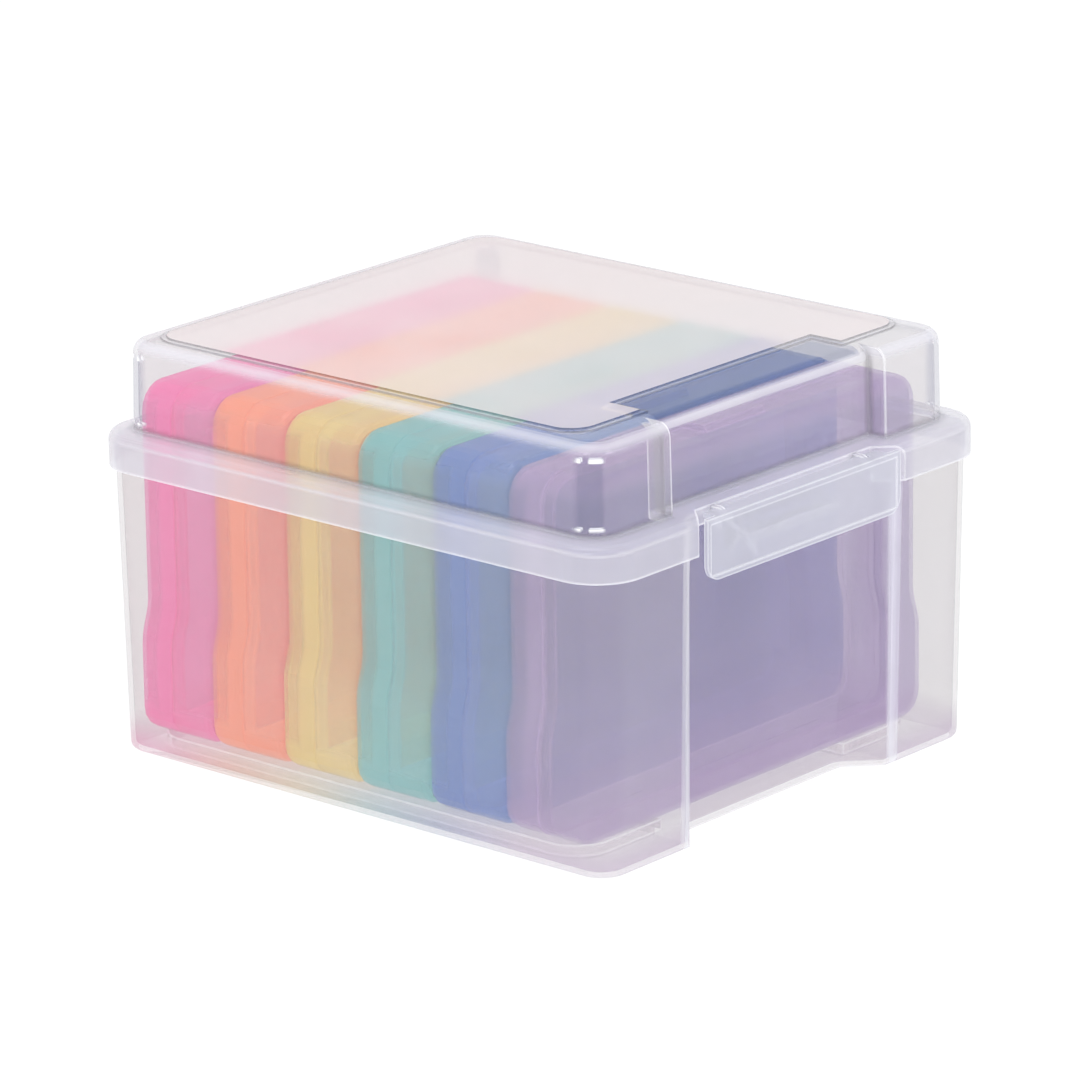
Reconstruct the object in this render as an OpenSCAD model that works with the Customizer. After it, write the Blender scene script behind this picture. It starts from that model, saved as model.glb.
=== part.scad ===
// Photo keeper case: a clear hinged box that holds six tinted photo cases on edge.
// The origin is under the middle of the whole object. +Z is up, -Y is the latch side.

/* [Overall] */
// Outer width of the lid's rim, side to side
rim_width = 196; // [190:1:204]
// Outer depth of the lid's rim, front to back
rim_depth = 221; // [220:1:226]
// Height of the closed box with its raised top panel
total_height = 141; // [139:1:150]
// Wall thickness of the box and its lid
wall = 1.6; // [1.2:0.1:1.8]

/* [Box body] */
// Gap between the box's open edge and the underside of the lid's ledge
body_top_gap = 1.4; // [1.2:0.1:3]
// Distance from the rim's outer face in to the box wall at its open edge
body_inset = 2.8; // [2.7:0.1:3.2]
// How much narrower each wall stands at the floor than at the open edge
body_draft = 2.0; // [1:0.1:2.4]
// Radius of the box's upright corners at the open edge
body_corner = 12; // [9:0.5:16]
// Radius of the edge between walls and floor
floor_edge = 2.4; // [1.8:0.2:3.6]
// Height of the raised floor that the photo cases stand on
floor_rise = 5.3; // [4.4:0.1:5.4]

/* [Front recess] */
// Width of the front recess where it opens between the feet
recess_width = 104; // [98:1:108]
// Depth of the front recess at the floor
recess_depth = 12.2; // [10:0.2:12.4]
// How far the recess wall leans forward from floor to open edge
recess_lean = 5.2; // [3:0.2:6]
// Radius of the recess's inner upright corners
recess_round = 6; // [4:0.5:9]
// Size of the bevel on the feet's upright edges beside the recess
foot_bevel = 1.4; // [0.6:0.1:2]

/* [Lid] */
// Distance from the rim's outer face in to the lid's upper wall
lid_inset = 8; // [7:0.2:8.2]
// How much further back the lid's upper wall sits than the rim
lid_shift = 1.1; // [0.6:0.1:1.4]
// Radius of the lid's upright corners
lid_corner = 11; // [8:0.5:14]
// Radius of the lid's top edge
lid_shoulder = 4.6; // [3:0.2:6]
// How much narrower each wall stands at the top than at the rim
lid_draft = 0.7; // [0.4:0.1:1.4]
// How much wider the lid's front recess is than the box's, at each side
lid_recess_room = 2; // [0:0.5:4]
// Depth of the lid's front recess
lid_recess_depth = 6.9; // [5:0.1:7]

/* [Rim of the lid] */
// Height of the lid's ledge above the table
ledge_height = 109.8; // [109.2:0.2:112]
// Height of the turned-down rim from its lower edge to the ledge's top
rim_drop = 11.9; // [11:0.1:12.2]
// Thickness of the ledge
ledge_wall = 2; // [1.6:0.1:2.2]
// Thickness of the turned-down rim
rim_wall = 1.8; // [1.4:0.1:1.9]
// Radius of the rim's upright corners
rim_corner = 16.5; // [13:0.5:19]
// Radius of the ledge's outer top edge
ledge_round = 3.2; // [2:0.2:4]
// Room at each side of the latch in the rim's gap, at the rim's front face
latch_room = 3.4; // [3:0.1:3.7]

/* [Top panel] */
// Height of the raised frosted panel above the lid's shoulder
panel_rise = 1.0; // [0.6:0.1:1.6]
// Width of the lower step round the panel
panel_step = 1.8; // [0.8:0.1:2.6]
// Distance from the lid's side faces in to the panel
panel_side_inset = 8.3; // [7.5:0.1:12]
// Distance from the lid's front face back to the panel
panel_front_inset = 15.9; // [14:0.1:20]
// Distance from the lid's rear face in to the panel
panel_back_inset = 9.6; // [8.5:0.1:14]
// Radius of the panel's corners
panel_corner = 9; // [6:0.5:14]
// How much narrower the panel's clear notch is than the box's front recess, at each side
notch_step = 1.5; // [0:0.1:4]
// Depth of the clear notch in the panel's front edge
notch_depth = 12.6; // [8:0.2:16]

/* [Latch] */
// Width of the latch plate
latch_width = 97.6; // [88:0.2:98]
// Height of the latch plate from its top to its finger edge
latch_drop = 20.6; // [18:0.2:24]
// Thickness of the latch plate
latch_wall = 1.6; // [1.2:0.1:2]
// Radius of the latch plate's lower corners
latch_round = 5.5; // [3:0.5:8]
// Width of the hook and of the catch it holds
hook_width = 46; // [30:1:60]
// Radius of the latch's two pivot pins
latch_pin = 1.3; // [1.1:0.1:1.5]
// Distance of each latch lug from the middle
lug_spacing = 36; // [28:1:39]

/* [Lid hinge] */
// Distance of each hinge from the middle
hinge_spacing = 52; // [40:1:66]
// Width of each hinge knuckle on the lid
knuckle_width = 18; // [12:1:24]
// Radius of the hinge knuckles
knuckle_radius = 3.6; // [3.2:0.1:3.7]
// Radius of the hinge pins
hinge_pin = 1.7; // [1.4:0.1:2]
// Thickness of each hinge ear on the box
ear_width = 3; // [2:0.2:4]

/* [Photo cases] */
// Room between the photo cases and the box's side walls, at the floor
end_room = 3.8; // [3:0.1:9]
// Room between the front photo case and the recess wall, at the floor
front_room = 1.6; // [1.4:0.1:3]
// Room between the rear photo case and the box's back wall, at the floor
back_room = 3.9; // [3:0.1:6]
// Room above the photo cases under the lid
headroom = 13.8; // [11:0.1:18]
// How far each end bulges outward at its lower part
case_bulge = 3.3; // [2:0.1:4.5]
// Height of the middle of the step between upper and lower part
case_step = 38; // [30:1:50]
// Height over which the step runs
case_step_run = 15; // [8:1:22]
// Radius of a photo case's top corners
case_top_corner = 10; // [6:0.5:12]
// Radius of a photo case's bottom corners
case_low_corner = 8.5; // [5:0.5:10]
// Radius of the edges round a photo case's two large faces
case_edge = 2.8; // [1.6:0.2:4]
// Wall thickness of a photo case
case_wall = 1.2; // [1:0.1:1.5]
// Distance from a photo case's front face to its seam
case_seam = 17; // [12:0.5:20]
// Overlap of the two halves behind the seam
case_lap = 4; // [2:0.5:6]
// Width of the clasp on top of a photo case
clasp_width = 30; // [20:1:50]

/* [Fits] */
// Clearance round hinge pins and latch pins
pin_clearance = 0.06; // [0.03:0.01:0.09]
// Gap between pieces that only lie beside each other
gap = 0.3; // [0.3:0.05:0.4]

/* [Hidden] */
$fn = 48;

// Box body, measured from the middle of the lid's rim
body_half_x = rim_width / 2 - body_inset;
body_half_y = rim_depth / 2 - body_inset;
body_cx = body_half_x - body_corner;
body_cy = body_half_y - body_corner;
recess_y = body_half_y - body_draft - recess_depth;
recess_top_y = recess_y + recess_lean;
recess_half = recess_width / 2;
recess_flare = [30, 42];

// Lid
body_height = ledge_height - ledge_wall - body_top_gap;
rim_bottom = ledge_height - rim_drop;
lid_half_x = rim_width / 2 - lid_inset;
lid_half_y = rim_depth / 2 - lid_inset;
lid_cx = lid_half_x - lid_corner;
lid_cy = lid_half_y - lid_corner;
lid_recess_width = recess_width + 2 * lid_recess_room;
shoulder_z = total_height - panel_rise;
panel_width = 2 * (lid_half_x - panel_side_inset);
panel_front = lid_half_y - lid_shift - panel_front_inset;
panel_back = lid_half_y + lid_shift - panel_back_inset;
notch_width = recess_width - 2 * notch_step;
// The pocket under the floor takes the panel of a box below with this room round it
stack_room = panel_step + 0.6;
rim_cx = rim_width / 2 - rim_corner;
rim_cy = rim_depth / 2 - rim_corner;
// The ledge's edge inside the rim's gap lies one lid inset before the lid wall
gap_y = lid_half_y - lid_shift - lid_recess_depth + lid_inset;

// Latch, hung from two lugs on the ledge inside the rim's gap
rim_gap = latch_width + 2 * latch_room;
latch_face_y = rim_depth / 2 + 0.8;
latch_top_z = ledge_height - 0.6;
latch_pin_y = gap_y + 2.6;
latch_pin_z = latch_top_z - 2.2;
lug_width = 2.4;
lug_radius = 2.4;
latch_arm = 2.6;
catch_z = latch_top_z - 13.2;
catch_reach = 4.6;

// Lid hinge, behind and below the rim
hinge_y = rim_depth / 2 + 2.8;
hinge_z = rim_bottom - knuckle_radius - 0.8;

// Photo cases, front to back
case_half = body_half_x - body_draft - wall - end_room - case_bulge;
case_z = floor_rise + gap;
case_height = shoulder_z - wall - headroom - case_z;
case_front = front_room + wall - recess_y;
case_count = 6;
case_pitch = (body_half_y - body_draft - wall - back_room + gap - case_front) / case_count;
case_thick = case_pitch - gap;
step_low = case_step - case_step_run / 2;

// Middle of the whole object, front to back
shift_y = (latch_face_y - (hinge_y + knuckle_radius)) / 2;

// Closed block with round upright corners. p holds [distance from the corner
// centre, height] pairs from bottom to top, so a corner is a turned profile.
module round_block(cx, cy, p) {
    n = len(p);
    function section(c) = concat([for (q = p) [c + q[0], q[1]]],
        [for (i = [n - 1 : -1 : 0]) [-c - p[i][0], p[i][1]]]);
    z0 = p[0][1];
    z1 = p[n - 1][1];
    rotate([90, 0, 0]) linear_extrude(2 * cy, center = true) polygon(section(cx));
    rotate([90, 0, 90]) linear_extrude(2 * cx, center = true) polygon(section(cy));
    for (sx = [-1, 1], sy = [-1, 1])
        translate([sx * cx, sy * cy, 0])
            rotate_extrude() polygon(concat([[0, z0]], p, [[0, z1]]));
}

// Rectangle with true round corners, from its left front to its right back corner
module round_rect(x0, y0, x1, y1, r) {
    translate([x0 + r, y0]) square([x1 - x0 - 2 * r, y1 - y0]);
    translate([x0, y0 + r]) square([x1 - x0, y1 - y0 - 2 * r]);
    for (x = [x0 + r, x1 - r], y = [y0 + r, y1 - r]) translate([x, y]) circle(r);
}

// Bar along X with the given side outline in [Y, Z]
module side_bar(width, outline) {
    rotate([90, 0, 90]) linear_extrude(width, center = true) polygon(outline);
}

// Profile of the box: round lower edge, then a wall that leans outward
function box_profile(r_low, r_high, z0, z1, e) = concat(
    [for (a = [0 : 15 : 90]) [r_low - e + e * sin(a), z0 + e - e * cos(a)]],
    [[r_high, z1]]);

// Profile of the lid: a wall that leans inward, then a round shoulder
function lid_profile(r_low, r_high, z0, z1, e) = concat([[r_low, z0]],
    [for (a = [0 : 15 : 90]) [r_high - e + e * cos(a), z1 - e + e * sin(a)]]);

// Plan of the front recess between the feet, with its back wall at y
function recess_plan(y, half, r, g) = let (
    out = [half + recess_flare[0] + g, y + recess_flare[1] + g * 0.586],
    back = half - (body_half_y - body_draft - y) - g * 0.414,
    t = r * 0.414)
    concat([[-out[0], -out[1]]],
        [for (a = [0 : 11.25 : 45])
            [-back + t + r * sin(a - 45), -y + g - r + r * cos(a - 45)]],
        [for (a = [0 : 11.25 : 45])
            [back - t + r * sin(a), -y + g - r + r * cos(a)]],
        [[out[0], -out[1]]]);

// Space of the front recess, grown by g for the inner faces of its walls
module front_recess(g) {
    hull() {
        translate([0, 0, -1]) linear_extrude(0.01)
            polygon(recess_plan(recess_y, recess_half, recess_round + g, g));
        translate([0, 0, body_height + 1]) linear_extrude(0.01)
            polygon(recess_plan(recess_top_y, recess_half - 0.6, recess_round + g, g));
    }
}

// Wedge that bevels a foot's upright edge at [x, -y], with its far corner outside the wall
function bevel_plan(x, y) = let (b = foot_bevel) [
    [x - 0.707 * b - 0.46, -y + 0.707 * b + 0.19],
    [x + b + 0.46, -y - 0.19],
    [x - 0.57, -y - 1.39]];

// Bevels along the feet's upright edges beside the recess
module foot_bevels() {
    for (s = [0, 1]) mirror([s, 0, 0]) hull() {
        translate([0, 0, -1]) linear_extrude(0.01)
            polygon(bevel_plan(recess_half, body_half_y - body_draft));
        translate([0, 0, body_height + 1]) linear_extrude(0.01)
            polygon(bevel_plan(recess_half - 0.6 + body_draft, body_half_y));
    }
}

// Plan of the raised top panel, grown by g, with its front notch
module panel_plan(g) {
    difference() {
        round_rect(-panel_width / 2 - g, -panel_front - g,
            panel_width / 2 + g, panel_back + g, panel_corner + g);
        translate([-notch_width / 2 + g, -panel_front - g - 1])
            square([notch_width - 2 * g, notch_depth + 1]);
    }
}

// Open box with a raised floor, feet beside the recess, a catch and hinge ears
module box_body() {
    color([0.86, 0.88, 0.92, 0.45]) translate([0, shift_y, 0]) {
        difference() {
            round_block(body_cx, body_cy,
                box_profile(body_corner - body_draft, body_corner, 0, body_height, floor_edge));
            front_recess(0);
            foot_bevels();
            difference() {
                round_block(body_cx, body_cy,
                    box_profile(body_corner - body_draft - wall, body_corner - wall + 0.02,
                        wall, body_height + 1, floor_edge - 1));
                front_recess(wall);
                linear_extrude(floor_rise) panel_plan(stack_room + wall);
            }
            translate([0, 0, -1]) linear_extrude(floor_rise - wall + 1) panel_plan(stack_room);
        }
        catch_rib();
        for (s = [-1, 1]) hinge_ears(s * hinge_spacing);
    }
}

// Shelf on the recess wall that the latch hooks under
module catch_rib() {
    reach_y = -(latch_face_y - latch_wall - gap - 3.0);
    wall_y = -(recess_y + recess_lean * catch_z / body_height) + 0.8;
    side_bar(hook_width, [[wall_y, catch_z], [reach_y, catch_z],
        [reach_y, catch_z + 1.2], [wall_y, catch_z + 4.4]]);
    for (s = [-1, 0, 1])
        translate([s * (hook_width / 2 - 1), 0, 0])
            side_bar(1.6, [[wall_y, catch_z - 7], [wall_y, catch_z + 0.4], [reach_y + 3.4, catch_z + 0.4]]);
}

// Two bored ears on the back wall that carry one hinge pin
module hinge_ears(x) {
    back_y = body_half_y - 0.9;
    for (s = [-1, 1])
        translate([x + s * (knuckle_width / 2 + gap + ear_width / 2), 0, 0])
            difference() {
                union() {
                    side_bar(ear_width, [[back_y, hinge_z - 12], [back_y, hinge_z + knuckle_radius - 0.2],
                        [hinge_y, hinge_z + knuckle_radius - 0.2],
                        [hinge_y + knuckle_radius * 0.7, hinge_z - knuckle_radius * 0.7]]);
                    translate([0, hinge_y, hinge_z]) rotate([0, 90, 0])
                        cylinder(r = knuckle_radius - 0.2, h = ear_width, center = true);
                }
                translate([0, hinge_y, hinge_z]) rotate([0, 90, 0])
                    cylinder(r = hinge_pin + pin_clearance, h = ear_width + 2, center = true);
            }
}

// Outside of the lid above its ledge, or its inside when drawn in by g
module lid_upper(g, z0) {
    e = max(lid_shoulder - g, 1);
    p = lid_profile(lid_corner - g, lid_corner - lid_draft - g, z0, shoulder_z - g, e);
    front = lid_recess_depth / 2;
    translate([0, lid_shift, 0]) {
        translate([0, front, 0]) round_block(lid_cx, lid_cy - front, p);
        difference() {
            round_block(lid_cx, lid_cy, p);
            translate([-lid_recess_width / 2 - g, -lid_half_y - 5, z0 - 1])
                cube([lid_recess_width + 2 * g, lid_half_y, shoulder_z]);
        }
    }
}

// Ledge and turned-down rim as one closed block, or its inside
module rim_block(g, z0, z1) {
    r = rim_corner - g;
    e = ledge_round - g * 0.6;
    round_block(rim_cx, rim_cy, concat([[r, z0]],
        [for (a = [0 : 15 : 90]) [r - e + e * cos(a), z1 - e + e * sin(a)]]));
}

// Half width of the gap in the rim at depth y, where its ends run at 45 degrees
function gap_half(y, g) = rim_gap / 2 + g * sqrt(2) - (rim_depth / 2 - y);

// Gap in the rim at the front, grown by g
module rim_notch(g, z0, z1) {
    far = rim_depth / 2 + 10;
    near = gap_y - g;
    translate([0, 0, z0]) linear_extrude(z1 - z0)
        polygon([[-gap_half(far, g), -far], [-gap_half(near, g), -near],
            [gap_half(near, g), -near], [gap_half(far, g), -far]]);
}

// Deep hinged lid with its ledge, rim, raised panel, latch lugs and hinge knuckles
module box_lid() {
    color([0.90, 0.91, 0.94, 0.45]) translate([0, shift_y, 0]) {
        difference() {
            union() {
                lid_upper(0, ledge_height - 3);
                difference() {
                    rim_block(0, rim_bottom, ledge_height);
                    rim_notch(0, rim_bottom - 1, ledge_height + 1);
                }
                translate([0, 0, shoulder_z - wall]) linear_extrude(wall + panel_rise) panel_plan(0);
                translate([0, 0, shoulder_z - wall])
                    linear_extrude(wall + panel_rise / 2) panel_plan(panel_step);
            }
            lid_upper(wall - 0.1, rim_bottom - 2);
            difference() {
                rim_block(rim_wall, rim_bottom - 1, ledge_height - ledge_wall);
                rim_notch(rim_wall, rim_bottom - 2, ledge_height + 1);
            }
            translate([-lid_recess_width / 2, -gap_y - 0.1, rim_bottom - 1])
                cube([lid_recess_width, 14, ledge_height - ledge_wall - 3.6 - rim_bottom + 1]);
            translate([0, 0, shoulder_z - wall - 1]) linear_extrude(panel_rise + 1) panel_plan(-wall);
        }
        for (s = [-1, 1]) latch_lug(s * lug_spacing);
        for (s = [-1, 1]) hinge_knuckle(s * hinge_spacing);
    }
}

// Bored lug on the ledge that carries one latch pin
module latch_lug(x) {
    translate([x, 0, 0]) difference() {
        union() {
            side_bar(lug_width, [[-gap_y + 1, latch_pin_z - lug_radius], [-gap_y + 1, ledge_height - 0.4],
                [-latch_pin_y, ledge_height - 0.4], [-latch_pin_y, latch_pin_z - lug_radius]]);
            translate([0, -latch_pin_y, latch_pin_z]) rotate([0, 90, 0])
                cylinder(r = lug_radius, h = lug_width, center = true);
        }
        translate([0, -latch_pin_y, latch_pin_z]) rotate([0, 90, 0])
            cylinder(r = latch_pin + pin_clearance, h = lug_width + 2, center = true);
    }
}

// Knuckle on the lid's rim with its pin through both ears of the box
module hinge_knuckle(x) {
    translate([x, 0, 0]) {
        side_bar(knuckle_width, [[rim_depth / 2 - 0.6, rim_bottom + 9],
            [rim_depth / 2 - 0.6, rim_bottom - 0.6],
            [hinge_y - knuckle_radius * 0.8, hinge_z],
            [hinge_y + knuckle_radius * 0.7, hinge_z + knuckle_radius * 0.7],
            [hinge_y + 0.4, rim_bottom + 3]]);
        translate([0, hinge_y, hinge_z]) rotate([0, 90, 0])
            cylinder(r = knuckle_radius, h = knuckle_width, center = true);
        translate([0, hinge_y, hinge_z]) rotate([0, 90, 0])
            cylinder(r = hinge_pin, h = knuckle_width + 2 * gap + 2 * ear_width, center = true);
    }
}

// Latch plate with a raised border, its pivot pins and its hook
module latch() {
    color([0.88, 0.90, 0.96, 0.55]) translate([0, shift_y, 0]) {
        inner_y = -latch_face_y + latch_wall;
        low_z = latch_top_z - latch_drop;
        half = latch_width / 2;
        // Plate and its raised border
        intersection() {
            union() {
                translate([-half, -latch_face_y + 0.5, low_z])
                    cube([latch_width, latch_wall - 0.5, latch_drop]);
                difference() {
                    translate([-half, -latch_face_y, low_z])
                        cube([latch_width, latch_wall, latch_drop]);
                    translate([-half + 1.6, -latch_face_y - 1, low_z + 1.6])
                        cube([latch_width - 3.2, latch_wall + 1 - 0.9, latch_drop - 3.6]);
                }
            }
            rotate([90, 0, 0]) translate([0, 0, latch_face_y - 10]) linear_extrude(20)
                round_rect(-half, low_z, half, latch_top_z + latch_round, latch_round);
        }
        // Web from the plate back to the pivot line, slotted for the lugs
        web_half = gap_half(latch_pin_y - 2.4, 0) - 0.8;
        difference() {
            translate([-web_half, inner_y - 0.4, latch_top_z - 1.7])
                cube([2 * web_half, -inner_y + 0.4 - latch_pin_y, 1.7]);
            for (s = [-1, 1]) translate([s * lug_spacing - lug_width / 2 - gap,
                -latch_pin_y - lug_radius - gap, latch_top_z - 3])
                cube([lug_width + 2 * gap, 20, 4]);
        }
        // Arms on both sides of each lug, joined by its pin
        for (s = [-1, 1]) translate([s * lug_spacing, 0, 0]) {
            for (t = [-1, 1]) translate([t * (lug_width / 2 + gap + latch_arm / 2), 0, 0]) {
                translate([0, -latch_pin_y, latch_pin_z]) rotate([0, 90, 0])
                    cylinder(r = 2.2, h = latch_arm, center = true);
                side_bar(latch_arm, [[-latch_pin_y, latch_pin_z - 2.2], [-latch_pin_y, latch_top_z],
                    [inner_y - 0.4, latch_top_z], [inner_y - 0.4, latch_pin_z - 4]]);
            }
            translate([0, -latch_pin_y, latch_pin_z]) rotate([0, 90, 0])
                cylinder(r = latch_pin, h = lug_width + 2 * gap + latch_arm, center = true);
        }
        // Hook that reaches back under the catch
        side_bar(hook_width, [[inner_y - 0.3, catch_z - 5.2], [inner_y - 0.3, catch_z + 0.6],
            [inner_y + 1.2, catch_z - gap - 0.2], [inner_y + 4.6, catch_z - gap - 0.6],
            [inner_y + 4.6, catch_z - gap - 1.8]]);
    }
}

// Half length of a photo case at height z
function case_half_at(z) = let (t = max(0, min(1, (z - step_low) / case_step_run)))
    case_half + case_bulge * (1 - t * t * (3 - 2 * t));

// One side of a photo case's outline drawn in by g, from bottom to top
function case_side(g) = let (
    rl = case_low_corner - g,
    rt = case_top_corner - g,
    xl = case_half + case_bulge - case_low_corner,
    xt = case_half - case_top_corner)
    concat([for (a = [0 : 22.5 : 90]) [xl + rl * sin(a), case_low_corner - rl * cos(a)]],
        [for (i = [0 : 5]) let (z = step_low + case_step_run * i / 5) [case_half_at(z) - g, z]],
        [for (a = [0 : 18 : 90]) [xt + rt * cos(a), case_height - case_top_corner + rt * sin(a)]]);

// Whole outline drawn in by g as a ring of points at depth y
function case_ring(g, y) = let (s = case_side(g), n = len(s)) concat(
    [for (q = s) [q[0], y, q[1]]],
    [for (i = [n - 1 : -1 : 0]) [-s[i][0], y, s[i][1]]]);

// Closed solid through rings of points, each given as [inset, depth]
module ring_solid(list) {
    rings = [for (q = list) case_ring(q[0], q[1])];
    n = len(rings[0]);
    m = len(rings);
    polyhedron(points = [for (r = rings) each r],
        faces = concat([[for (j = [n - 1 : -1 : 0]) j]],
            [for (i = [0 : m - 2], j = [0 : n - 1]) let (k = (j + 1) % n)
                [i * n + j, i * n + k, (i + 1) * n + k, (i + 1) * n + j]],
            [[for (j = [0 : n - 1]) (m - 1) * n + j]]), convexity = 6);
}

// Front half of a photo case: a shallow tray that closes over the other half's lip
module case_cover() {
    e = case_edge;
    ring_solid([[e, 0], [e * 0.5, e * 0.134], [e * 0.134, e * 0.5], [0, e],
        [0, case_seam - 0.25], [case_wall, case_seam - 0.25],
        [case_wall, e], [e * 0.62 + 0.1, case_wall + 0.5], [e + 0.6, case_wall]]);
    side_bar(clasp_width, [[7, case_height - 0.8], [8.5, case_height + 2.2],
        [case_seam + 5.4, case_height + 2.2], [case_seam + 5.4, case_height + 0.3],
        [case_seam - 0.4, case_height + 0.3], [case_seam - 0.4, case_height - 0.8]]);
}

// Back half of a photo case: a deeper tray with a thin lip that the cover closes over
module case_back() {
    e = case_edge;
    t = case_thick;
    lip = case_wall + 0.25;
    ring_solid([[e + 0.6, t - case_wall], [e * 0.62 + 0.1, t - case_wall - 0.5],
        [case_wall + 0.1, t - e], [case_wall + 0.1, case_seam + 2.4],
        [lip + 1, case_seam + 1.2], [lip + 1, case_seam - case_lap],
        [lip, case_seam - case_lap], [lip, case_seam], [0, case_seam],
        [0, t - e], [e * 0.134, t - e * 0.5], [e * 0.5, t - e * 0.134], [e, t]]);
    side_bar(clasp_width + 6, [[case_seam + 5.8, case_height - 0.8], [case_seam + 5.8, case_height + 1.4],
        [case_seam + 7.4, case_height + 1.8], [case_seam + 9.4, case_height - 0.8]]);
}

// Places a photo case half in slot i, counted from the front
module in_slot(i) {
    translate([0, shift_y + case_front + i * case_pitch, case_z]) children();
}

module case_pink_base() { color([0.93, 0.35, 0.62, 0.6]) in_slot(5) case_back(); }
module case_pink_lid() { color([0.95, 0.45, 0.68, 0.6]) in_slot(5) case_cover(); }
module case_orange_base() { color([0.97, 0.48, 0.32, 0.6]) in_slot(4) case_back(); }
module case_orange_lid() { color([0.98, 0.56, 0.40, 0.6]) in_slot(4) case_cover(); }
module case_yellow_base() { color([0.86, 0.74, 0.30, 0.6]) in_slot(3) case_back(); }
module case_yellow_lid() { color([0.88, 0.76, 0.42, 0.6]) in_slot(3) case_cover(); }
module case_teal_base() { color([0.22, 0.66, 0.62, 0.6]) in_slot(2) case_back(); }
module case_teal_lid() { color([0.34, 0.68, 0.66, 0.6]) in_slot(2) case_cover(); }
module case_blue_base() { color([0.22, 0.38, 0.74, 0.6]) in_slot(1) case_back(); }
module case_blue_lid() { color([0.32, 0.46, 0.76, 0.6]) in_slot(1) case_cover(); }
module case_purple_base() { color([0.52, 0.40, 0.72, 0.6]) in_slot(0) case_back(); }
module case_purple_lid() { color([0.58, 0.48, 0.76, 0.6]) in_slot(0) case_cover(); }

box_body();
box_lid();
latch();
case_pink_base();
case_pink_lid();
case_orange_base();
case_orange_lid();
case_yellow_base();
case_yellow_lid();
case_teal_base();
case_teal_lid();
case_blue_base();
case_blue_lid();
case_purple_base();
case_purple_lid();
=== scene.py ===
import math

import bpy
from mathutils import Matrix, Vector


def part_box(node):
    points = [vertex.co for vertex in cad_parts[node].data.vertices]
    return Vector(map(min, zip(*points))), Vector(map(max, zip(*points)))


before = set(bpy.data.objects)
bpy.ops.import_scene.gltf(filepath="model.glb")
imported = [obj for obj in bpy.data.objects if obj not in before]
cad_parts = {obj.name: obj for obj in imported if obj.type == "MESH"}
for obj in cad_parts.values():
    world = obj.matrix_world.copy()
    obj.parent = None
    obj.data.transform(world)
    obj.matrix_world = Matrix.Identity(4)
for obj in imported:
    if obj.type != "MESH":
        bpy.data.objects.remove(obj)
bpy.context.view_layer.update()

bl_info = {
    "name": "Photo keeper case looks",
    "version": (1, 0, 0),
    "blender": (4, 5, 0),
    "location": "3D View > Sidebar > Photo keeper",
    "description": "Finishes the clear hinged box, its latch and six tinted photo cases",
    "category": "Object",
}

MM = 0.001
CASE_COLOURS = ("pink", "orange", "yellow", "teal", "blue", "purple")


# ------------------------------------------------------------ colour and node helpers

def mm(*sizes):
    """Sizes in millimetres as metres."""
    return tuple(size * MM for size in sizes)


def srgb(text):
    """Linear RGB of an sRGB hex colour such as "ffeedd"."""
    parts = [int(text[i:i + 2], 16) / 255 for i in (0, 2, 4)]
    return tuple(c / 12.92 if c <= 0.04045 else ((c + 0.055) / 1.055) ** 2.4 for c in parts)


WHITE = srgb("ffffff")


def deeper(colour, power):
    """A colour that light has passed power times over, or paler where power is under 1."""
    return tuple(c ** power for c in colour)


def new_material(name):
    """An empty node material with its output node, as (material, node tree, output node)."""
    material = bpy.data.materials.new(name)
    material.use_nodes = True
    tree = material.node_tree
    tree.nodes.clear()
    return material, tree, tree.nodes.new("ShaderNodeOutputMaterial")


def add(tree, kind, inputs=None, **settings):
    """Adds a node with its settings. inputs holds a value, or an output to link, for each
    input by name or number."""
    made = tree.nodes.new("ShaderNode" + kind)
    for name, value in settings.items():
        setattr(made, name, value)
    for name, value in (inputs or {}).items():
        socket = made.inputs[name]
        if isinstance(value, bpy.types.NodeSocket):
            tree.links.new(value, socket)
        elif socket.type == "RGBA" and len(value) == 3:
            socket.default_value = (*value, 1.0)
        else:
            socket.default_value = value
    return made


def times(tree, first, *others):
    """The product of two or more values."""
    for other in others:
        first = add(tree, "Math", {0: first, 1: other}, operation="MULTIPLY").outputs[0]
    return first


def largest(tree, first, *others):
    """The largest of two or more values."""
    for other in others:
        first = add(tree, "Math", {0: first, 1: other}, operation="MAXIMUM").outputs[0]
    return first


def rest_of(tree, value):
    """What is left of 1."""
    return add(tree, "Math", {0: 1.0, 1: value}, operation="SUBTRACT").outputs[0]


def away(tree, value, centre=0.0):
    """How far value is from centre."""
    apart = add(tree, "Math", {0: value, 1: centre}, operation="SUBTRACT").outputs[0]
    return add(tree, "Math", {0: apart}, operation="ABSOLUTE").outputs[0]


def graded(tree, value, slope, start):
    """start where value is 0, and slope more where it is 1."""
    return add(tree, "Math", {0: value, 1: slope, 2: start}, operation="MULTIPLY_ADD").outputs[0]


def band(tree, value, start, end):
    """0 where value is at start, 1 at end, and a smooth rise between."""
    return add(tree, "MapRange", {"Value": value, "From Min": start, "From Max": end},
               interpolation_type="SMOOTHSTEP").outputs[0]


def near(tree, value, centre, reach):
    """1 where value is at centre, and 0 from reach away."""
    return band(tree, away(tree, value, centre), reach, reach * 0.5)


def between(tree, factor, low, high):
    """low where factor is 0 and high where it is 1, for two numbers or two colours."""
    if isinstance(high, float) or getattr(high, "type", "") == "VALUE":
        return add(tree, "Mix", {0: factor, 2: low, 3: high}).outputs[0]
    return add(tree, "Mix", {0: factor, 6: low, 7: high}, data_type="RGBA").outputs[2]


def cloudy(tree, coords, size):
    """Soft noise about 1, for moulding flow marks about size metres across."""
    noise = add(tree, "TexNoise", {"Vector": coords, "Scale": 1 / size, "Detail": 2.0,
                                   "Roughness": 0.5})
    return graded(tree, noise.outputs["Fac"], 0.5, 0.75)


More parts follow.
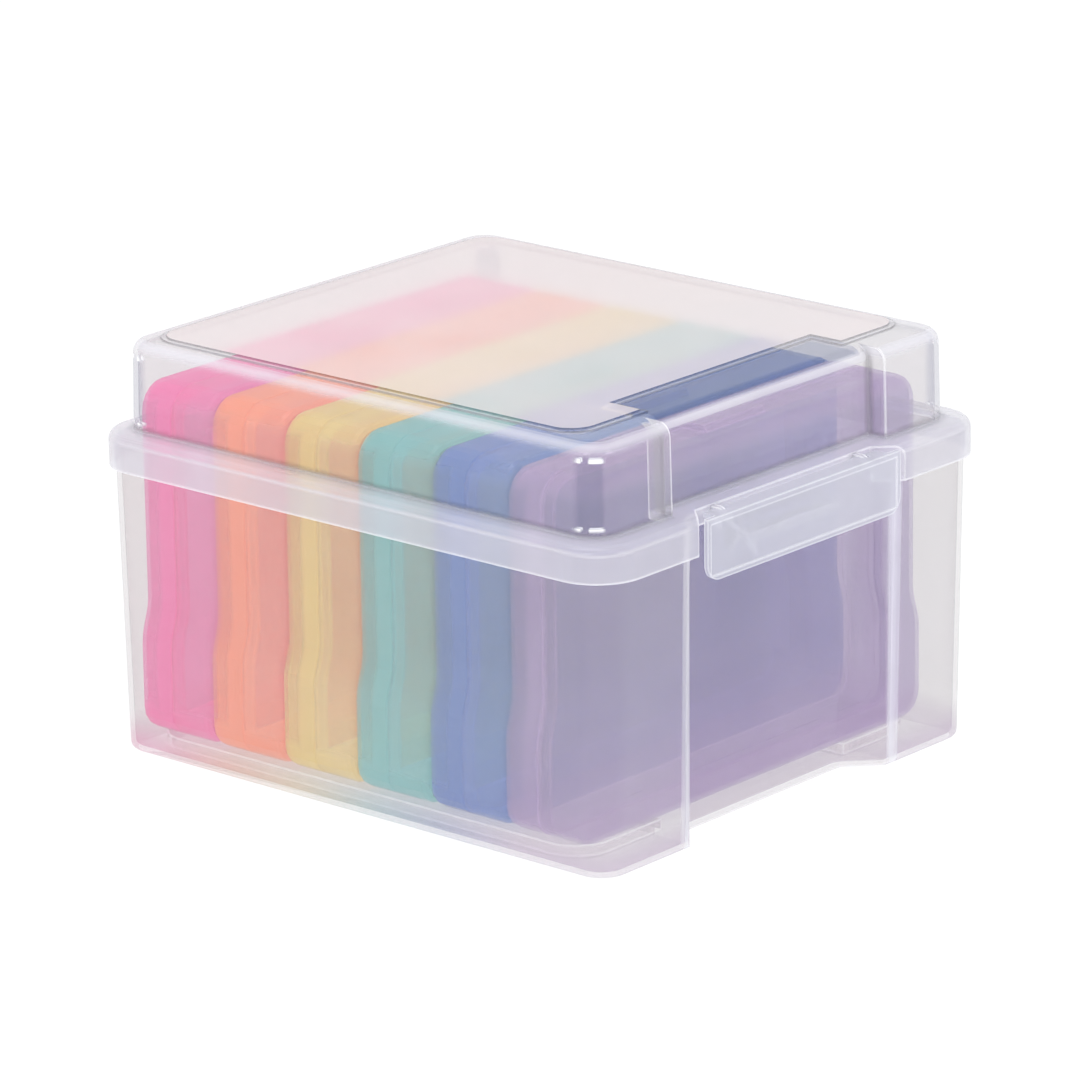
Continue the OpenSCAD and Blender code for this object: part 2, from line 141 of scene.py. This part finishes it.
def dress(node_names, material):
    """Puts the material on every slot of these CAD nodes."""
    for name in node_names:
        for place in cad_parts[name].material_slots:
            place.material = material


# ------------------------------------------------------------ see-through plastic

PP_IOR = 1.49
# How much of the light that makes shadows and bounces crosses a wall, and how much dye it takes up
LIGHT_THROUGH = 0.97
LIGHT_TINT = 0.15
# Share of the haze's light that comes from behind the wall
GLOW_SHARE = 0.22
# Seen edge-on, by Layer Weight's facing value, a wall loses this much more of its clearness,
# painted light at its outline that stands in for light the wall turns back inside itself
EDGE_ON = (0.82, 1.0)
EDGE_ON_LOSS = 0.6
# What an inner corner keeps of the light behind it, and how shut in a point there is
CORNER_SHADE = 0.55
SHUT_IN = (0.94, 0.66)
# How far the eased normal leans from the true one along an edge, and an edge's share from inside
EDGE_LEAN = (0.975, 0.86)
EDGE_FROM_INSIDE = 0.15
# Tone of a reflection, and its strength on moulded polypropylene
SHEEN = srgb("e7eaea")
SHEEN_SHARE = 0.7
# The frosted texture bends light a little in all directions, which blurs what is behind it
FROST_ROUGHNESS = 0.6
FROST_IOR = 1.025
# Size of the cloudiness in the walls and of the ripples in their gloss. Real flow marks are about
# this long beside a gate, and finer ones don't show at this size.
CLOUD_SIZE, RIPPLE_SIZE = mm(35, 12)


def see_through(name, dye, milk, haze, gloss, places, edge, edge_line_share, edge_colour=WHITE,
                corner=None):
    """A thin wall of moulded polypropylene.

    dye is what light keeps as it passes one face, milk the colour of the haze in the wall, haze
    the share of light that the haze stops at one face, and gloss the roughness of the surface.
    edge is the width in metres of the line in edge_colour along the wall's outer edges, a painted
    highlight where edge_colour is white, and corner that of the darker line in its inner corners.
    places returns other values for parts of the surface, from (tree, coords, normal): haze, edge,
    milk or dye, and the shares that are blurred or may show the corner's line.
    """
    material, tree, output = new_material(name)
    coords = add(tree, "TexCoord").outputs["Object"]
    geometry = add(tree, "NewGeometry").outputs
    outer = rest_of(tree, geometry["Backfacing"])
    local = places(tree, coords, geometry["Normal"])
    share = times(tree, local.get("haze", haze), cloudy(tree, coords, CLOUD_SIZE))
    milk, through = local.get("milk", milk), local.get("dye", dye)

    # A slanting ray has a longer way through the wall, by the angle that it takes in the plastic
    facing = add(tree, "LayerWeight", {"Blend": 0.5}).outputs["Facing"]
    cosine = rest_of(tree, facing)
    sine_squared = rest_of(tree, times(tree, cosine, cosine))
    cosine_squared = graded(tree, sine_squared, -1 / PP_IOR ** 2, 1.0)
    way = add(tree, "Math", {0: cosine_squared, 1: -0.5}, operation="POWER").outputs[0]
    clear = add(tree, "Math", {0: rest_of(tree, share), 1: way}, operation="POWER").outputs[0]
    # Painted light at the outline: extra haze edge-on, for light that the wall turns back inside
    # itself
    edge_on = graded(tree, band(tree, facing, *EDGE_ON), -EDGE_ON_LOSS, 1.0)
    share = rest_of(tree, times(tree, clear, edge_on))

    passed = add(tree, "BsdfTransparent", {"Color": through}).outputs[0]
    if corner:
        open_sky = add(tree, "AmbientOcclusion", {"Distance": corner}, samples=4, only_local=True)
        tucked = times(tree, band(tree, open_sky.outputs["AO"], *SHUT_IN), outer,
                       local.get("corner", 1.0))
        dark = add(tree, "BsdfTransparent", {"Color": tuple(c * CORNER_SHADE for c in dye)})
        passed = add(tree, "MixShader", {0: tucked, 1: passed, 2: dark.outputs[0]}).outputs[0]
    if "blurred" in local:
        bent = add(tree, "BsdfRefraction", {"Color": through, "Roughness": FROST_ROUGHNESS,
                                            "IOR": FROST_IOR})
        passed = add(tree, "MixShader", {0: local["blurred"], 1: passed,
                                         2: bent.outputs[0]}).outputs[0]
    body = add(tree, "BsdfDiffuse", {"Color": milk})
    glow = add(tree, "BsdfTranslucent", {"Color": milk})
    cloud = add(tree, "MixShader", {0: GLOW_SHARE, 1: body.outputs[0], 2: glow.outputs[0]})
    wall = add(tree, "MixShader", {0: share, 1: passed, 2: cloud.outputs[0]})

    # Painted highlight: a flat diffuse line in edge_colour along the edges that the Bevel node
    # finds, white on the box, the lid and the latch, and a fuller tone of each case's colour on the
    # cases
    eased = add(tree, "Bevel", {"Radius": edge}, samples=4).outputs["Normal"]
    lean = add(tree, "VectorMath", {0: geometry["Normal"], 1: eased}, operation="DOT_PRODUCT")
    line = times(tree, band(tree, lean.outputs["Value"], *EDGE_LEAN), local.get("edge", edge_line_share))
    line = times(tree, line, graded(tree, outer, 1 - EDGE_FROM_INSIDE, EDGE_FROM_INSIDE))
    if corner:
        line = times(tree, line, rest_of(tree, tucked))
    bright = add(tree, "BsdfDiffuse", {"Color": edge_colour})
    wall = add(tree, "MixShader", {0: line, 1: wall.outputs[0], 2: bright.outputs[0]})

    rough = times(tree, cloudy(tree, coords, RIPPLE_SIZE), gloss)
    shine = add(tree, "BsdfGlossy", {"Color": SHEEN, "Roughness": rough})
    mirror = add(tree, "Fresnel", {"IOR": PP_IOR}).outputs[0]
    mirror = times(tree, mirror, outer, SHEEN_SHARE)
    whole = add(tree, "MixShader", {0: mirror, 1: wall.outputs[0], 2: shine.outputs[0]})

    # Haze passes light on instead of stopping it, so lamp light and bounced light cross the wall
    # almost whole
    ray = add(tree, "LightPath").outputs
    lit = times(tree, largest(tree, ray["Is Shadow Ray"], ray["Is Diffuse Ray"]), LIGHT_THROUGH)
    bare = add(tree, "BsdfTransparent", {"Color": deeper(dye, LIGHT_TINT)})
    final = add(tree, "MixShader", {0: lit, 1: whole.outputs[0], 2: bare.outputs[0]})
    tree.links.new(final.outputs[0], output.inputs["Surface"])
    return material


# ------------------------------------------------------------ sizes and colours a user would change

def tint(word, text, default):
    """A colour setting, from a short name, a description and an sRGB hex default."""
    return bpy.props.FloatVectorProperty(
        name=word, description=text, subtype="COLOR", default=srgb(default), min=0, max=1)


def part(word, text, default):
    """A setting between 0 and 1."""
    return bpy.props.FloatProperty(
        name=word, description=text, subtype="FACTOR", default=default, min=0, max=1)


def length(word, text, default):
    """A length setting."""
    return bpy.props.FloatProperty(
        name=word, description=text, unit="LENGTH", default=default, min=0)


class ShellSettings(bpy.types.PropertyGroup):
    dye: tint("Body", "What light keeps as it passes one face of a clear wall", "f8f7f7")
    milk: tint("Milk", "Colour of the haze in the clear box", "dcdadc")
    floor_milk: tint("Floor milk", "Colour of the haze in the box's floor", "eae6ea")
    lid_milk: tint("Lid milk", "Colour of the haze in the lid", "e6e5ec")
    rim_milk: tint("Rim milk", "Colour of the haze in the lid's ledge and rim", "dddce6")
    frost_milk: tint("Frost milk", "Colour of the haze in the spark-textured panel", "ecdfde")
    haze: part("Haze", "Share of light that one face of a clear wall scatters", 0.10)
    floor_haze: part("Floor haze", "Share of light that one face of the floor scatters", 0.23)
    # The shoulder's haze is a painted highlight along the lid's rounded top
    painted_shoulder_highlight: part(
        "Shoulder haze", "Share of light that one face of the lid's rounded top scatters", 0.42)
    rim_haze: part(
        "Rim haze", "Share of light that one face of the lid's thicker rim scatters", 0.31)
    frost: part("Frost", "Share of light that the spark-textured top panel scatters", 0.47)
    # The edge line is a painted highlight along the moulded edges
    edge: length("Edge line", "Width of the bright line along moulded edges", 1.5 * MM)
    edge_line_share: part("Edge haze", "Share of light that the moulded edges scatter", 0.62)
    corner: length("Corner line", "Width of the dark line in moulded inner corners", 3 * MM)


class LatchSettings(bpy.types.PropertyGroup):
    dye: tint("Body", "What light keeps as it passes one face of the latch", "fcfcff")
    milk: tint("Milk", "Colour of the haze in the latch", "cbcbd4")
    haze: part("Haze", "Share of light that one face of the latch scatters", 0.46)
    # The edge line is a painted highlight round the plate
    edge: length("Edge line", "Width of the bright line along the plate's border", 1.1 * MM)
    edge_line_share: part("Edge haze", "Share of light that the plate's border scatters", 0.42)


def dye_of(colour, default):
    """The setting for a case's dye."""
    return tint(f"{colour} as light passes", f"What light keeps at one face of the {colour} case",
                default)


def milk_of(colour, default):
    """The setting for the milk in a case's plastic."""
    return tint(f"{colour} haze", f"Colour of the haze in the {colour} case", default)


class CaseSettings(bpy.types.PropertyGroup):
    pink_dye: dye_of("pink", "fbd8ea")
    pink_milk: milk_of("pink", "fa8ac2")
    orange_dye: dye_of("orange", "ffebe2")
    orange_milk: milk_of("orange", "ffae88")
    yellow_dye: dye_of("yellow", "faf4e2")
    yellow_milk: milk_of("yellow", "f0dc94")
    teal_dye: dye_of("teal", "dff2f2")
    teal_milk: milk_of("teal", "90cecc")
    blue_dye: dye_of("blue", "dbe4f6")
    blue_milk: milk_of("blue", "7a99d0")
    purple_dye: dye_of("purple", "ebe8f2")
    purple_milk: milk_of("purple", "d3bddb")
    haze: part("Haze", "Share of light that one face of a case's rear half scatters", 0.22)
    cover_haze: part(
        "Cover haze", "Share of light that one face of a case's front half scatters", 0.16)
    panel_haze: part(
        "Panel haze", "Share of light that one large face of a case scatters", 0.10)
    purple_clear: part("Purple haze", "Haze in the purple case as a share of the others'", 0.5)
    base_depth: length("Base depth", "Depth of a case's rear half, as seen outside", 14.5 * MM)
    edge: length("Edge line", "Width of the fuller line along a case's edges", 1.2 * MM)
    edge_line_share: part("Edge haze", "Share of light that the edges of a case scatter", 0.35)


class StageSettings(bpy.types.PropertyGroup):
    azimuth: bpy.props.FloatProperty(
        name="Azimuth", description="Camera direction, from the front towards the right",
        subtype="ANGLE", default=math.radians(-49.01))
    elevation: bpy.props.FloatProperty(
        name="Elevation", description="Camera height above the horizon", subtype="ANGLE",
        default=math.radians(17.29))
    roll: bpy.props.FloatProperty(
        name="Roll", description="Camera roll", subtype="ANGLE", default=math.radians(-0.82))
    distance: bpy.props.FloatProperty(
        name="Distance", description="Camera distance from the aim point", subtype="DISTANCE",
        default=2.2108)
    aim: bpy.props.FloatVectorProperty(
        name="Aim", description="Point in the middle of the picture", subtype="XYZ",
        unit="LENGTH", default=(-0.00014, -0.00264, 0.06923))
    lens: bpy.props.FloatProperty(
        name="Lens", description="Focal length in millimetres", default=224.12)
    floor: tint("Floor", "Colour of the plain floor", "f6f6f6")


# ------------------------------------------------------------ the box and its lid

# A shiny face of moulded polypropylene
POLISHED = 0.08
# What one face lets through where the lid is darker: painted shade on the panel's step faces and
# in the upright corners, and the panel's notch
DARKER_DYE = srgb("c4c8d7")

# Heights and places in the lid as (none, full), from the table and the middle of the box. The
# panel's top face is at 141 mm, its step at 140.5 mm and the lid's flat top at 140 mm.
FROST_Z = mm(140.6, 140.8)
SHOULDER_Z = mm(135.0, 139.0)
RIM_Z = mm(111.0, 109.6)
RISER_Z = mm(139.95, 140.05)
RISER_PAINTED_SHADE_Z = mm(139.9, 140.9)
NO_EDGE_Z = mm(139.6, 139.9)
LID_RECESS_X = mm(53.5, 52.5)
LID_RECESS_Y = mm(-82, -85)
NOTCH_X = mm(50.8, 50.4)
NOTCH_Y = mm(-75.6, -75.9)
NOTCH_Z = mm(137.2, 138.2)
PILLAR_LOW_Z = mm(111.0, 113.0)
PILLAR_HIGH_Z = mm(137.0, 134.0)
# Centre and reach of the painted highlight line on the turn over the recess and of the painted
# glints in the upright corners
TURN_Z = mm(136.6, 2.0)
GLINT_HIGH_Z = mm(134.6, 1.1)
GLINT_LOW_Z = mm(112.2, 0.9)
# Parts of a face's normal, as (none, full), that tell flat, upright and corner faces apart
FLAT = (0.90, 0.98)
UPRIGHT = (0.5, 0.2)
PILLAR_NORMAL_X = (0.45, 0.6)
PILLAR_NORMAL_Y = (0.05, 0.25)
GLINT_GAP = (0.42, 0.14)
# Haze of one face, and share of the darker dye, in those places. The turn's and the glints'
# shares are painted highlights, and the darker dye on the step faces and in the upright corners
# is painted shade
LID_WALL_SHARE = 0.8
TURN_HIGHLIGHT = 1.3
RISER_HAZE, RISER_PAINTED_SHADE = 0.05, 0.5
PAINTED_GLINT_SHARE, PILLAR_PAINTED_SHADE = 0.95, 0.4
NOTCH_HAZE, NOTCH_DARK = 0.04, 0.65


def lid_places(look):
    """How the lid's plastic changes over its surface."""

    def places(tree, coords, normal):
        place = add(tree, "SeparateXYZ", {0: coords}).outputs
        way = add(tree, "SeparateXYZ", {0: normal}).outputs
        across = away(tree, place["X"])
        way_x, way_y, way_z = (away(tree, way[axis]) for axis in "XYZ")
        flat = band(tree, way_z, *FLAT)
        not_flat = rest_of(tree, flat)

        # The rim is thicker than the walls, so it is milkier. The rounded shoulder gets extra haze
        # as a painted highlight. Over the front recess the shoulder is thin and clear, with one
        # painted highlight line where it turns down.
        shoulder = times(tree, band(tree, place["Z"], *SHOULDER_Z), not_flat)
        recess = times(tree, band(tree, across, *LID_RECESS_X),
                       band(tree, place["Y"], *LID_RECESS_Y))
        turn = times(tree, near(tree, place["Z"], *TURN_Z), TURN_HIGHLIGHT, not_flat)
        shoulder = between(tree, recess, shoulder, turn)
        rim = band(tree, place["Z"], *RIM_Z)
        share = between(tree, shoulder, look.haze * LID_WALL_SHARE, look.painted_shoulder_highlight)
        share = between(tree, rim, share, look.rim_haze)

        # The raised panel is spark-textured, and the upright faces of its steps are fine dark lines
        # of painted shade
        frosted = times(tree, band(tree, place["Z"], *FROST_Z), flat)
        share = between(tree, frosted, share, look.frost)
        riser = times(tree, band(tree, place["Z"], *RISER_Z), band(tree, way_z, *UPRIGHT))
        share = between(tree, riser, share, RISER_HAZE)
        outside = rest_of(tree, add(tree, "NewGeometry").outputs["Backfacing"])
        dark = times(tree, riser, band(tree, place["Z"], *RISER_PAINTED_SHADE_Z), outside, RISER_PAINTED_SHADE)

        # The rounded upright corners bend the light like a lens: painted shade deepens the colour
        # behind them, with painted glints at both ends
        pillar = times(tree, band(tree, way_y, *PILLAR_NORMAL_Y),
                       band(tree, way_x, *PILLAR_NORMAL_X),
                       band(tree, place["Z"], *PILLAR_LOW_Z),
                       band(tree, place["Z"], *PILLAR_HIGH_Z))
        ends = largest(tree, near(tree, place["Z"], *GLINT_HIGH_Z),
                       near(tree, place["Z"], *GLINT_LOW_Z))
        glint = times(tree, ends, pillar, rest_of(tree, near(tree, way_y, *GLINT_GAP)))
        share = between(tree, glint, share, PAINTED_GLINT_SHARE)
        dark = largest(tree, dark, times(tree, pillar, PILLAR_PAINTED_SHADE))

        # The panel's notch is a clear window that shows the cases at their full colour
        notch = times(tree, band(tree, across, *NOTCH_X), band(tree, place["Y"], *NOTCH_Y),
                      band(tree, place["Z"], *NOTCH_Z))
        dark = largest(tree, dark, times(tree, notch, NOTCH_DARK))
        share = between(tree, notch, share, NOTCH_HAZE)

        milk = between(tree, frosted, look.lid_milk, look.frost_milk)
        # The painted glints are white
        milk = between(tree, glint, milk, WHITE)
        return {"haze": share,
                "edge": between(tree, band(tree, place["Z"], *NO_EDGE_Z), look.edge_line_share, 0.0),
                "blurred": frosted,
                "dye": between(tree, dark, look.dye, DARKER_DYE),
                "milk": between(tree, rim, milk, look.rim_milk)}

    return places


# Heights and places in the box as (none, full). Those along Y count from its front.
FOOT_Z = mm(13, 3)
CORNER_Z = mm(12, 24)
LOW_EDGE_Z = mm(2.5, 1.0)
RECESS_X = mm(52.0, 51.0)
RECESS_Y = mm(25, 20)
BEVEL_Y = mm(5.0, 3.5)
# Centre and reach of the bevels on the feet's upright edges
BEVEL_X = mm(52.8, 2.4)
# What the recess wall loses of its haze, and how the feet's edges and bevels look; the bevels'
# whiter haze is a painted highlight
RECESS_LOSS = 0.5
LOW_EDGE = 0.3
BEVEL_HIGHLIGHT_SHARE, BEVEL_EDGE = 0.34, 0.3
BEVEL_HIGHLIGHT = srgb("f1f1f9")
# How much of a case's colour is painted into the floor's haze under it, as painted coloured light
# from the case, and how thick the floor is in dye
PAINTED_CASE_LIGHT = 0.6
FLOOR_DYE = 1.6


def body_places(look, cases):
    """How the box's plastic changes over its surface. cases holds the cases' colours."""
    front, back = (corner[1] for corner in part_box("box_body"))

    def places(tree, coords, normal):
        place = add(tree, "SeparateXYZ", {0: coords}).outputs
        across = away(tree, place["X"])

        # The raised floor and the wall's foot are thick, so they are hazy. The recess wall between
        # the feet is thin, and shows the front case darker.
        foot = band(tree, place["Z"], *FOOT_Z)
        recess = times(tree, band(tree, across, *RECESS_X),
                       band(tree, place["Y"], *(front + y for y in RECESS_Y)))
        share = between(tree, foot, look.haze, look.floor_haze)
        share = times(tree, share, graded(tree, recess, -RECESS_LOSS, 1.0))
        # Painted highlight: the bevels on the feet's upright edges get a whiter haze
        bevel = times(tree, near(tree, across, *BEVEL_X),
                      band(tree, place["Y"], *(front + y for y in BEVEL_Y)))
        edge = between(tree, band(tree, place["Z"], *LOW_EDGE_Z), look.edge_line_share, LOW_EDGE)

        # Painted light: the floor's haze takes the colour of the light that the case standing on it
        # passes down, so the ramp runs from front to back
        along = graded(tree, place["Y"], 1 / (back - front), 0.5)
        tinted = add(tree, "ValToRGB", {"Fac": along})
        stops = tinted.color_ramp.elements
        while len(stops) < len(CASE_COLOURS):
            stops.new(0.5)
        for stop, colour in zip(stops, reversed(CASE_COLOURS)):
            low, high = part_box(f"case_{colour}_base")
            stop.position = (low[1] + high[1]) / 2 / (back - front) + 0.5
            milk = getattr(cases, colour + "_milk")
            stop.color = (*(m * (1 - PAINTED_CASE_LIGHT + PAINTED_CASE_LIGHT * c)
                            for m, c in zip(look.floor_milk, milk)), 1.0)
        milk = between(tree, foot, look.milk, tinted.outputs[0])
        return {"haze": between(tree, bevel, share, BEVEL_HIGHLIGHT_SHARE),
                "edge": between(tree, bevel, edge, BEVEL_EDGE),
                "corner": band(tree, place["Z"], *CORNER_Z),
                "dye": between(tree, foot, look.dye, deeper(look.dye, FLOOR_DYE)),
                "milk": between(tree, bevel, milk, BEVEL_HIGHLIGHT)}

    return places


class PHOTOCASE_OT_shell(bpy.types.Operator):
    """Gives the box body and its lid the look of natural polypropylene"""
    bl_idname = "photocase.shell"
    bl_label = "Finish box and lid"

    def execute(self, context):
        look = context.scene.photocase_shell
        cases = context.scene.photocase_cases
        # Natural polypropylene, injection moulded in a polished tool: clear and glossy where it is
        # thin, with a soft milk in the thick places, and painted highlights along its edges
        dress(["box_body"], see_through(
            "moulded natural polypropylene, polished", tuple(look.dye), tuple(look.milk),
            look.haze, POLISHED, body_places(look, cases), look.edge, look.edge_line_share,
            corner=look.corner))
        # The same plastic, with a spark-textured panel in the tool: the panel reads as frosted,
        # and shows the cases under it as pale blurred bands
        dress(["box_lid"], see_through(
            "moulded natural polypropylene, polished, with a spark-textured panel",
            tuple(look.dye), tuple(look.lid_milk), look.haze, POLISHED, lid_places(look),
            look.edge, look.edge_line_share, corner=look.corner))
        return {"FINISHED"}


# ------------------------------------------------------------ the latch

# Where the plate's border ends behind its face, as (none, full), and the gloss of its fine texture
PLATE_Y = mm(2.4, 1.6)
LATCH_GLOSS = 0.12


class PHOTOCASE_OT_latch(bpy.types.Operator):
    """Gives the latch the look of milky polypropylene"""
    bl_idname = "photocase.latch"
    bl_label = "Finish latch"

    def execute(self, context):
        look = context.scene.photocase_latch
        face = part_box("latch")[0][1]

        def plate_edges(tree, coords, normal):
            # Only the plate's own border catches the light, not the arms behind it
            depth = add(tree, "SeparateXYZ", {0: coords}).outputs["Y"]
            border = band(tree, depth, *(face + y for y in PLATE_Y))
            return {"edge": times(tree, border, look.edge_line_share)}

        # Natural polypropylene, moulded thicker than the lid: an even cool milk that only hints at
        # what is behind it, with a painted highlight line round the plate
        dress(["latch"], see_through(
            "moulded natural polypropylene, milky", tuple(look.dye), tuple(look.milk),
            look.haze, LATCH_GLOSS, plate_edges, look.edge, look.edge_line_share))
        return {"FINISHED"}


# ------------------------------------------------------------ the photo cases

CASE_GLOSS = 0.2
# A fuller and a paler tone of a case's haze, as powers of its colour
DEEP, PALE = 1.5, 0.65
# Places where a case's wall is thick, as (none, full): below its top, above the table and behind
# the seam of its two halves
TOP_Z = mm(-10, -4)
BOTTOM_Z = mm(20, 12)
STEP_Z = mm(46, 38)
SEAM_Y = mm(-0.1, 0.1)
OVERLAP_Y = mm(8.5, 5.0)
STEP_SHARE = 0.2
OVERLAP_SHARE = 0.9
# What a thick wall adds to the haze, and how far its milk goes to the fuller tone
THICK_HAZE = 1.5
THICK_TONE = 0.7
# Part of a face's normal, as (none, full), that tells the large faces from the end walls
BROAD = (0.75, 0.95)


def case_places(haze, panel_haze, milk, deep, top, seam):
    """How one half of a case changes over its surface."""

    def places(tree, coords, normal):
        place = add(tree, "SeparateXYZ", {0: coords}).outputs
        # The walls are thickest where they turn, at the top, at the bottom and under the step,
        # and double where the halves overlap, so the colour is fuller there
        high = band(tree, place["Z"], *(top + z for z in TOP_Z))
        low = band(tree, place["Z"], *BOTTOM_Z)
        step = times(tree, band(tree, place["Z"], *STEP_Z), STEP_SHARE)
        double = times(tree, band(tree, place["Y"], *(seam + y for y in SEAM_Y)),
                       band(tree, place["Y"], *(seam + y for y in OVERLAP_Y)), OVERLAP_SHARE)
        more = largest(tree, high, low, step, double)
        # The large faces are thinner than the end walls, so the neighbours show through them
        facing_front = away(tree, add(tree, "SeparateXYZ", {0: normal}).outputs["Y"])
        share = between(tree, band(tree, facing_front, *BROAD), haze, panel_haze)
        return {"haze": times(tree, graded(tree, more, THICK_HAZE, 1.0), share),
                "milk": between(tree, times(tree, more, THICK_TONE), milk, deep)}

    return places


class PHOTOCASE_OT_cases(bpy.types.Operator):
    """Gives the six photo cases the look of tinted polypropylene"""
    bl_idname = "photocase.cases"
    bl_label = "Finish photo cases"

    def execute(self, context):
        look = context.scene.photocase_cases
        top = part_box("case_pink_base")[1][2]
        for colour in CASE_COLOURS:
            dye = tuple(getattr(look, colour + "_dye"))
            milk = tuple(getattr(look, colour + "_milk"))
            deep = deeper(milk, DEEP)
            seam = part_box(f"case_{colour}_base")[1][1] - look.base_depth
            clearness = look.purple_clear if colour == "purple" else 1.0
            # Polypropylene tinted in the mass and moulded: the thicker rear half is a full soft
            # colour, and the thin front half a paler one that lets its neighbours through
            for half, word, haze, tone in (
                    ("base", "thick", look.haze * clearness, milk),
                    ("lid", "thin", look.cover_haze * clearness, deeper(milk, PALE))):
                dress([f"case_{colour}_{half}"], see_through(
                    f"moulded {colour} tinted polypropylene, {word}", dye, tone, haze, CASE_GLOSS,
                    case_places(haze, look.panel_haze, tone, deep, top, seam),
                    look.edge, look.edge_line_share, edge_colour=deep))
        return {"FINISHED"}


# ------------------------------------------------------------ floor, lamps and camera

# Name, place, aim, width and height in metres, and power in watts of each soft lamp
SOFTBOXES = (
    ("softbox_top", (-0.2, 0.3, 2.2), (0, 0, 0.1), 1.4, 1.4, 14),
    ("softbox_left", (-1.6, -0.5, 1.3), (0, 0, 0.07), 0.9, 0.9, 8.5),
    ("softbox_front", (0.3, -1.9, 1.2), (0, 0, 0.07), 1.0, 0.7, 7),
)
FLOOR_REACH = 8.0
# How far the floor's own tone gives way to white where it is seen, so that its shadow stays
FLOOR_WHITE = 0.8
SKY = srgb("fafbfe")
SENSOR_WIDTH = 36
CLIP = (0.05, 40)


def seen(tree):
    """1 for rays from the camera, a reflection or glass."""
    ray = add(tree, "LightPath").outputs
    return largest(tree, ray["Is Camera Ray"], ray["Is Glossy Ray"], ray["Is Transmission Ray"])


class PHOTOCASE_OT_stage(bpy.types.Operator):
    """Makes the floor, the soft lamps, the white surroundings and the camera"""
    bl_idname = "photocase.stage"
    bl_label = "Make stage"

    def execute(self, context):
        look = context.scene.photocase_stage
        scene = context.scene
        scene.view_settings.view_transform = "Standard"
        # Enough for a ray that crosses every wall of the box and of its six cases
        scene.cycles.transparent_max_bounces = 96
        scene.cycles.max_bounces = 10
        self.make_floor(scene, look)
        self.make_surroundings(scene)
        for lamp in SOFTBOXES:
            self.make_softbox(scene, *lamp)
        self.make_camera(scene, look)
        return {"FINISHED"}

    def make_floor(self, scene, look):
        # Board in matt paint: a plain white ground that keeps the object's soft shadow
        material, tree, output = new_material("matt painted board")
        board = add(tree, "BsdfDiffuse", {"Color": tuple(look.floor)})
        white = add(tree, "Emission", {"Color": WHITE, "Strength": 1.0})
        mixed = add(tree, "MixShader", {0: times(tree, seen(tree), FLOOR_WHITE),
                                        1: board.outputs[0], 2: white.outputs[0]})
        tree.links.new(mixed.outputs[0], output.inputs["Surface"])
        mesh = bpy.data.meshes.new("floor")
        far = FLOOR_REACH
        mesh.from_pydata([(-far, -far, 0), (far, -far, 0), (far, far, 0), (-far, far, 0)], [],
                         [(0, 1, 2, 3)])
        floor = bpy.data.objects.new("floor", mesh)
        scene.collection.objects.link(floor)
        floor.data.materials.append(material)

    def make_surroundings(self, scene):
        world = bpy.data.worlds.new("white studio")
        scene.world = world
        world.use_nodes = True
        tree = world.node_tree
        tree.nodes.clear()
        soft = add(tree, "Background", {"Color": SKY, "Strength": 1.0})
        white = add(tree, "Background", {"Color": WHITE, "Strength": 1.0})
        mixed = add(tree, "MixShader", {0: seen(tree), 1: soft.outputs[0], 2: white.outputs[0]})
        output = add(tree, "OutputWorld")
        tree.links.new(mixed.outputs[0], output.inputs["Surface"])

    def make_softbox(self, scene, name, place, aim, wide, high, watts):
        lamp = bpy.data.lights.new(name, "AREA")
        lamp.shape = "RECTANGLE"
        lamp.size, lamp.size_y = wide, high
        lamp.energy = watts
        made = bpy.data.objects.new(name, lamp)
        made.location = place
        made.rotation_mode = "QUATERNION"
        made.rotation_quaternion = (Vector(aim) - Vector(place)).to_track_quat("-Z", "Y")
        scene.collection.objects.link(made)

    def make_camera(self, scene, look):
        a, e = look.azimuth, look.elevation
        back = Vector((math.sin(a) * math.cos(e), -math.cos(a) * math.cos(e), math.sin(e)))
        side = Vector((0, 0, 1)).cross(back).normalized()
        up = back.cross(side)
        right = math.cos(look.roll) * side + math.sin(look.roll) * up
        up = back.cross(right)
        data = bpy.data.cameras.new("camera")
        data.lens, data.sensor_width = look.lens, SENSOR_WIDTH
        data.clip_start, data.clip_end = CLIP
        camera = bpy.data.objects.new("camera", data)
        turn = Matrix((right, up, back)).transposed().to_4x4()
        place = Vector(look.aim) + back * look.distance
        camera.matrix_world = Matrix.Translation(place) @ turn
        scene.collection.objects.link(camera)
        scene.camera = camera


# ------------------------------------------------------------ the add-on

GROUPS = {"photocase_shell": ShellSettings, "photocase_latch": LatchSettings,
          "photocase_cases": CaseSettings, "photocase_stage": StageSettings}
OPERATORS = {"photocase_shell": PHOTOCASE_OT_shell, "photocase_latch": PHOTOCASE_OT_latch,
             "photocase_cases": PHOTOCASE_OT_cases, "photocase_stage": PHOTOCASE_OT_stage}


class PHOTOCASE_PT_looks(bpy.types.Panel):
    """Lists what finishes the photo keeper case"""
    bl_idname = "PHOTOCASE_PT_looks"
    bl_label = "Photo keeper case"
    bl_space_type = "VIEW_3D"
    bl_region_type = "UI"
    bl_category = "Photo keeper"

    def draw(self, context):
        for group, operator in OPERATORS.items():
            column = self.layout.column(align=True)
            settings = getattr(context.scene, group)
            for name in settings.__annotations__:
                column.prop(settings, name)
            column.operator(operator.bl_idname)


CLASSES = (*GROUPS.values(), *OPERATORS.values(), PHOTOCASE_PT_looks)


def register():
    for made in CLASSES:
        bpy.utils.register_class(made)
    for name, group in GROUPS.items():
        setattr(bpy.types.Scene, name, bpy.props.PointerProperty(type=group))


def unregister():
    for name in GROUPS:
        delattr(bpy.types.Scene, name)
    for made in reversed(CLASSES):
        bpy.utils.unregister_class(made)


def main():
    register()
    bpy.ops.photocase.shell()
    bpy.ops.photocase.latch()
    bpy.ops.photocase.cases()
    bpy.ops.photocase.stage()


if __name__ == "__main__":
    main()
